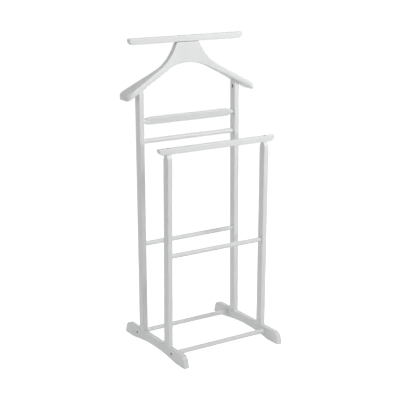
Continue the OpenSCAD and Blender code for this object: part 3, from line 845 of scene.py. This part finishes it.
# %% The brush and wear groups
brush, brush_in, brush_out = group("brush marks", {"Vector": ("Vector", None), "Width": ("Float", 500.0)},
                                   {"Relief": "Float", "Sheen": "Float"})
drawn = stretched(brush, brush_in["Vector"], (0.015, 1.0, 1.0))
ridge = noise(brush, drawn, brush_in["Width"], 2.0, Roughness=0.6)
stipple = noise(brush, brush_in["Vector"], 900.0, 1.0)
fill(brush, brush_out["Relief"], weighed(brush, 0.75, ridge, stipple))
haze = noise(brush, brush_in["Vector"], 22.0, 3.0)
fill(brush, brush_out["Sheen"], weighed(brush, 0.4, ridge, haze))

wear, wear_in, wear_out = group("edge wear", {"Vector": ("Vector", None), "Amount": ("Float", 0.5)},
                                {"Worn": "Float"})
rim = add(wear, "Attribute", {"attribute_name": "edge"}).outputs["Fac"]
patchy = noise(wear, wear_in["Vector"], 70.0, 5.0, Roughness=0.7)
reach = maths(wear, "ADD", maths(wear, "MULTIPLY", rim, wear_in["Amount"]), patchy)
fill(wear, wear_out["Worn"], between(wear, reach, 0.95, 1.25))
print("brush group has", len(brush.nodes), "nodes and wear group", len(wear.nodes))

# %% [markdown]
# ## White painted wood
# The paint is a cool white with a satin sheen. Each piece gets its own copy of the material, because
# its grain has to run along it: a Mapping node turns the pattern so that its X axis follows the piece,
# and moves it, so no two pieces look alike. The holes were drilled after painting, so they are bare wood
# inside, yet they are coloured near-black, which is mostly painted shade; their faces carry the
# attribute named bore.

# %% Paint every wooden piece
PAINT = (0.795, 0.808, 0.8045, 1)
THIN_PAINT = (0.70, 0.685, 0.65, 1)
DUSTY = (0.741, 0.752, 0.744, 1)
# Near-black painted shade for the inside of holes and recesses; the bare wood there is far lighter.
BORE_SHADE = (0.09, 0.08, 0.07, 1)
EDGE_WEAR = 0.32
PORES_SHOW = 0.16
WEAR_SHOWS = 0.6
GRAIN_DEPTH = 0.12 * MM
BRUSH_DEPTH = 0.08 * MM
PATTERN_STEP = 0.37
TURN = {"x": (0, 0, 0), "y": (0, 0, -math.pi / 2), "z": (0, math.pi / 2, 0)}


def painted(name, axis, start):
    """White paint over wood whose grain runs along an axis. `start` moves the pattern."""
    material, tree, shader = new_material(name)
    place = add(tree, "TexCoord").outputs["Object"]
    place = add(tree, "Mapping", None, Vector=place, Location=(start, start * 1.7, start * 0.6),
                Rotation=TURN[axis]).outputs[0]
    wood = use(tree, grain, Vector=place)
    strokes = use(tree, brush, Vector=place)
    worn = use(tree, wear, Vector=place, Amount=EDGE_WEAR)["Worn"]
    cloud = noise(tree, place, 9.0, 3.0)
    tone = blend_colour(tree, between(tree, cloud, 0.35, 0.75, 0.0, 0.45), PAINT, DUSTY)
    tone = blend_colour(tree, maths(tree, "MULTIPLY", wood["Pore"], PORES_SHOW), tone, THIN_PAINT)
    tone = blend_colour(tree, maths(tree, "MULTIPLY", worn, WEAR_SHOWS), tone, THIN_PAINT)
    # Faces marked bore get the near-black colour: a painted shade inside the holes.
    bore = add(tree, "Attribute", {"attribute_name": "bore"}).outputs["Fac"]
    fill(tree, shader.inputs["Base Color"], blend_colour(tree, bore, tone, BORE_SHADE))
    fill(tree, shader.inputs["Roughness"], between(tree, strokes["Sheen"], 0.3, 0.7, 0.36, 0.5))
    under = add(tree, "Bump", None, Height=wood["Relief"], Strength=0.35, Distance=GRAIN_DEPTH).outputs[0]
    over = add(tree, "Bump", None, Height=strokes["Relief"], Strength=0.35, Distance=BRUSH_DEPTH,
               Normal=under)
    fill(tree, shader.inputs["Normal"], over.outputs[0])
    return material


LONG_AXIS = {"post": "z", "foot": "y"}
for k, (node, piece) in enumerate(pieces.items()):
    axis = LONG_AXIS.get(node.split("_")[-1], "x")
    piece.data.materials.clear()
    piece.data.materials.append(painted("white_paint_" + node, axis, PATTERN_STEP * (k + 1)))
print("painted", len(pieces), "pieces")

# %% [markdown]
# ## Metal and bare wood
# The small parts keep their CAD meshes: black wood screws, zinc-plated bolts and washers, brass inserts
# and beech dowel pins. Metal needs little: a colour that clouds softly between two tones, and fine
# scratches in its roughness. The pins show the same grain as the big pieces, but bare.

# %% Make the metals
scratch, scratch_in, scratch_out = group(
    "fine scratches", {"Vector": ("Vector", None), "Scale": ("Float", 1200.0)},
    {"Line": "Float", "Cloud": "Float"})
drawn = stretched(scratch, scratch_in["Vector"], (1.0, 1.0, 0.08))
fill(scratch, scratch_out["Line"], noise(scratch, drawn, scratch_in["Scale"], 2.0))
fill(scratch, scratch_out["Cloud"], noise(scratch, scratch_in["Vector"], 160.0, 4.0))
SCRATCH_DEPTH = 0.03 * MM


def metal(name, light, dark, rough, spread_by):
    """A metal whose colour clouds between two tones, with scratches in its roughness."""
    material, tree, shader = new_material(name)
    shader.inputs["Metallic"].default_value = 1.0
    place = add(tree, "TexCoord").outputs["Object"]
    marks = use(tree, scratch, Vector=place)
    cloud = between(tree, marks["Cloud"], 0.35, 0.65)
    fill(tree, shader.inputs["Base Color"], blend_colour(tree, cloud, dark, light))
    fill(tree, shader.inputs["Roughness"],
         between(tree, marks["Line"], 0.3, 0.7, rough - spread_by, rough + spread_by))
    bump = add(tree, "Bump", None, Height=marks["Line"], Strength=0.2, Distance=SCRATCH_DEPTH)
    fill(tree, shader.inputs["Normal"], bump.outputs[0])
    return material


black_steel = metal("black_steel", light=(0.045, 0.045, 0.05, 1), dark=(0.02, 0.02, 0.022, 1),
                    rough=0.42, spread_by=0.12)
zinc = metal("zinc_plating", light=(0.62, 0.64, 0.67, 1), dark=(0.5, 0.51, 0.53, 1),
             rough=0.34, spread_by=0.12)
brass = metal("turned_brass", light=(0.8, 0.6, 0.28, 1), dark=(0.66, 0.48, 0.2, 1),
              rough=0.3, spread_by=0.1)
print("metals:", black_steel.name, zinc.name, brass.name)

# %% Make bare wood, and give the small parts their finishes
PORE_DEPTH = 0.1 * MM


def bare_wood(name, light, dark):
    """Unpainted wood: its colour follows the bands, and its pores are dark."""
    material, tree, shader = new_material(name)
    place = add(tree, "TexCoord").outputs["Object"]
    place = add(tree, "Mapping", None, Vector=place, Rotation=TURN["z"]).outputs[0]
    wood = use(tree, grain, Vector=place, Bands=300.0, Pores=2600.0)
    tone = blend_colour(tree, between(tree, wood["Band"], 0.35, 0.65), light, dark)
    fill(tree, shader.inputs["Base Color"], blend_colour(tree, wood["Pore"], tone, dark))
    fill(tree, shader.inputs["Roughness"], between(tree, wood["Band"], 0.3, 0.7, 0.55, 0.7))
    bump = add(tree, "Bump", None, Height=wood["Relief"], Strength=0.5, Distance=PORE_DEPTH)
    fill(tree, shader.inputs["Normal"], bump.outputs[0])
    return material


beech = bare_wood("bare_beech", light=(0.66, 0.45, 0.26, 1), dark=(0.5, 0.31, 0.16, 1))
small_parts = {"lower_rung_screws": black_steel, "front_rail_screws": black_steel,
               "hanger_screws": black_steel, "top_bar_screws": black_steel,
               "foot_bolts": zinc, "bolt_washers": zinc, "post_inserts": brass,
               "foot_dowel_pins": beech, "hanger_dowel_pins": beech}
for node, material in small_parts.items():
    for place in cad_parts[node].material_slots:
        place.material = material
print("materials in the file:", len([m for m in bpy.data.materials if m.users]))

# %% [markdown]
# ## Floor, light and background
# The stand is lit as in a plain studio. A small lamp stands straight in front of the left posts, so the
# front post shades the one behind it. Large soft boxes stand in front to the right, at the right, at
# the left and above. The rest is the light that the pale walls send back. The floor is a wide, pale,
# matt sheet. The background should be white without more light on the stand. So the world is white only
# for rays that the camera, a reflection or clear glass sends out, and the floor adds the little light
# that it lacks to be white for the same rays only.

# %% Lay the floor
FLOOR_R = 40.0
FLOOR_SIDES = 96
FLOOR_GREY = (0.92, 0.92, 0.92, 1)
FLOOR_GLOW = 0.78


def disc(name, radius):
    """A flat disc: points radius * (cos a, sin a) at Z = 0, joined to one face."""
    a = np.linspace(0, 2 * np.pi, FLOOR_SIDES, endpoint=False)
    mesh = bpy.data.meshes.new(name)
    points = np.stack([radius * np.cos(a), radius * np.sin(a), np.zeros_like(a)], -1)
    mesh.from_pydata(points.tolist(), [], [list(range(FLOOR_SIDES))])
    piece = bpy.data.objects.new(name, mesh)
    bpy.context.scene.collection.objects.link(piece)
    return piece


def seen_directly(tree):
    """1 for a ray that the camera, a reflection or clear glass sends out, 0 for any other."""
    seen = add(tree, "LightPath").outputs
    mirrored = maths(tree, "MAXIMUM", seen["Is Glossy Ray"], seen["Is Transmission Ray"])
    return maths(tree, "MAXIMUM", seen["Is Camera Ray"], mirrored)


floor = disc("floor", FLOOR_R)
pale, tree, shader = new_material("pale_floor")
shader.inputs["Base Color"].default_value = FLOOR_GREY
shader.inputs["Roughness"].default_value = 0.9
shader.inputs["Specular IOR Level"].default_value = 0.0
glow = add(tree, "Emission", None, Color=(1, 1, 1, 1))
fill(tree, glow.inputs["Strength"], maths(tree, "MULTIPLY", seen_directly(tree), FLOOR_GLOW))
both = add(tree, "AddShader")
fill(tree, both.inputs[0], shader.outputs[0])
fill(tree, both.inputs[1], glow.outputs[0])
fill(tree, tree.nodes["Material Output"].inputs["Surface"], both.outputs[0])
floor.data.materials.append(pale)
print("floor is", 2 * FLOOR_R, "m across")

# %% Light the stand
world = bpy.data.worlds.new("studio")
bpy.context.scene.world = world
world.use_nodes = True
tree = world.node_tree
sky = tree.nodes["Background"]
sky.inputs["Color"].default_value = (1, 1, 1, 1)
way = add(tree, "SeparateXYZ", None, Vector=add(tree, "TexCoord").outputs["Generated"]).outputs
LEFT_WALL, RIGHT_WALL, BACK_WALL = 0.75, 0.6, 0.75
walls = 0.0
for axis, sign, strength in (("X", -1, LEFT_WALL), ("X", 1, RIGHT_WALL), ("Y", 1, BACK_WALL)):
    facing = maths(tree, "MAXIMUM", maths(tree, "MULTIPLY", way[axis], sign), 0.0)
    lit = maths(tree, "MULTIPLY", maths(tree, "POWER", facing, 2.0), strength)
    walls = maths(tree, "ADD", walls, lit)
fill(tree, sky.inputs["Strength"], between(tree, seen_directly(tree), 0.0, 1.0, walls, 1.0))


def lamp(name, place, aim, size, watts):
    """A round area lamp at `place` that points at `aim`; a larger one gives softer shadows."""
    data = bpy.data.lights.new(name, "AREA")
    data.shape = "DISK"
    data.size = size
    data.energy = watts
    spot = bpy.data.objects.new(name, data)
    spot.location = place
    spot.rotation_euler = (Vector(aim) - Vector(place)).to_track_quat("-Z", "Y").to_euler()
    bpy.context.scene.collection.objects.link(spot)


MIDDLE = (0, 0, 0.6)
lamp("front_lamp", (-0.19, -3.4, 1.1), aim=(0, 0, 0.9), size=0.3, watts=18)
lamp("front_box", (0.9, -1.4, 1.9), aim=(0, 0, 1.3), size=0.8, watts=24)
lamp("right_box", (2.2, 0.6, 1.2), aim=MIDDLE, size=1.5, watts=8)
lamp("left_box", (-2.0, 1.2, 1.2), aim=(0, 0, 0.9), size=1.2, watts=5)
lamp("top_box", (0.2, 0.1, 2.6), aim=MIDDLE, size=1.2, watts=3)
bpy.context.scene.view_settings.view_transform = "Standard"
print("lamps:", len(bpy.data.lights), "with walls of", LEFT_WALL, RIGHT_WALL, BACK_WALL)
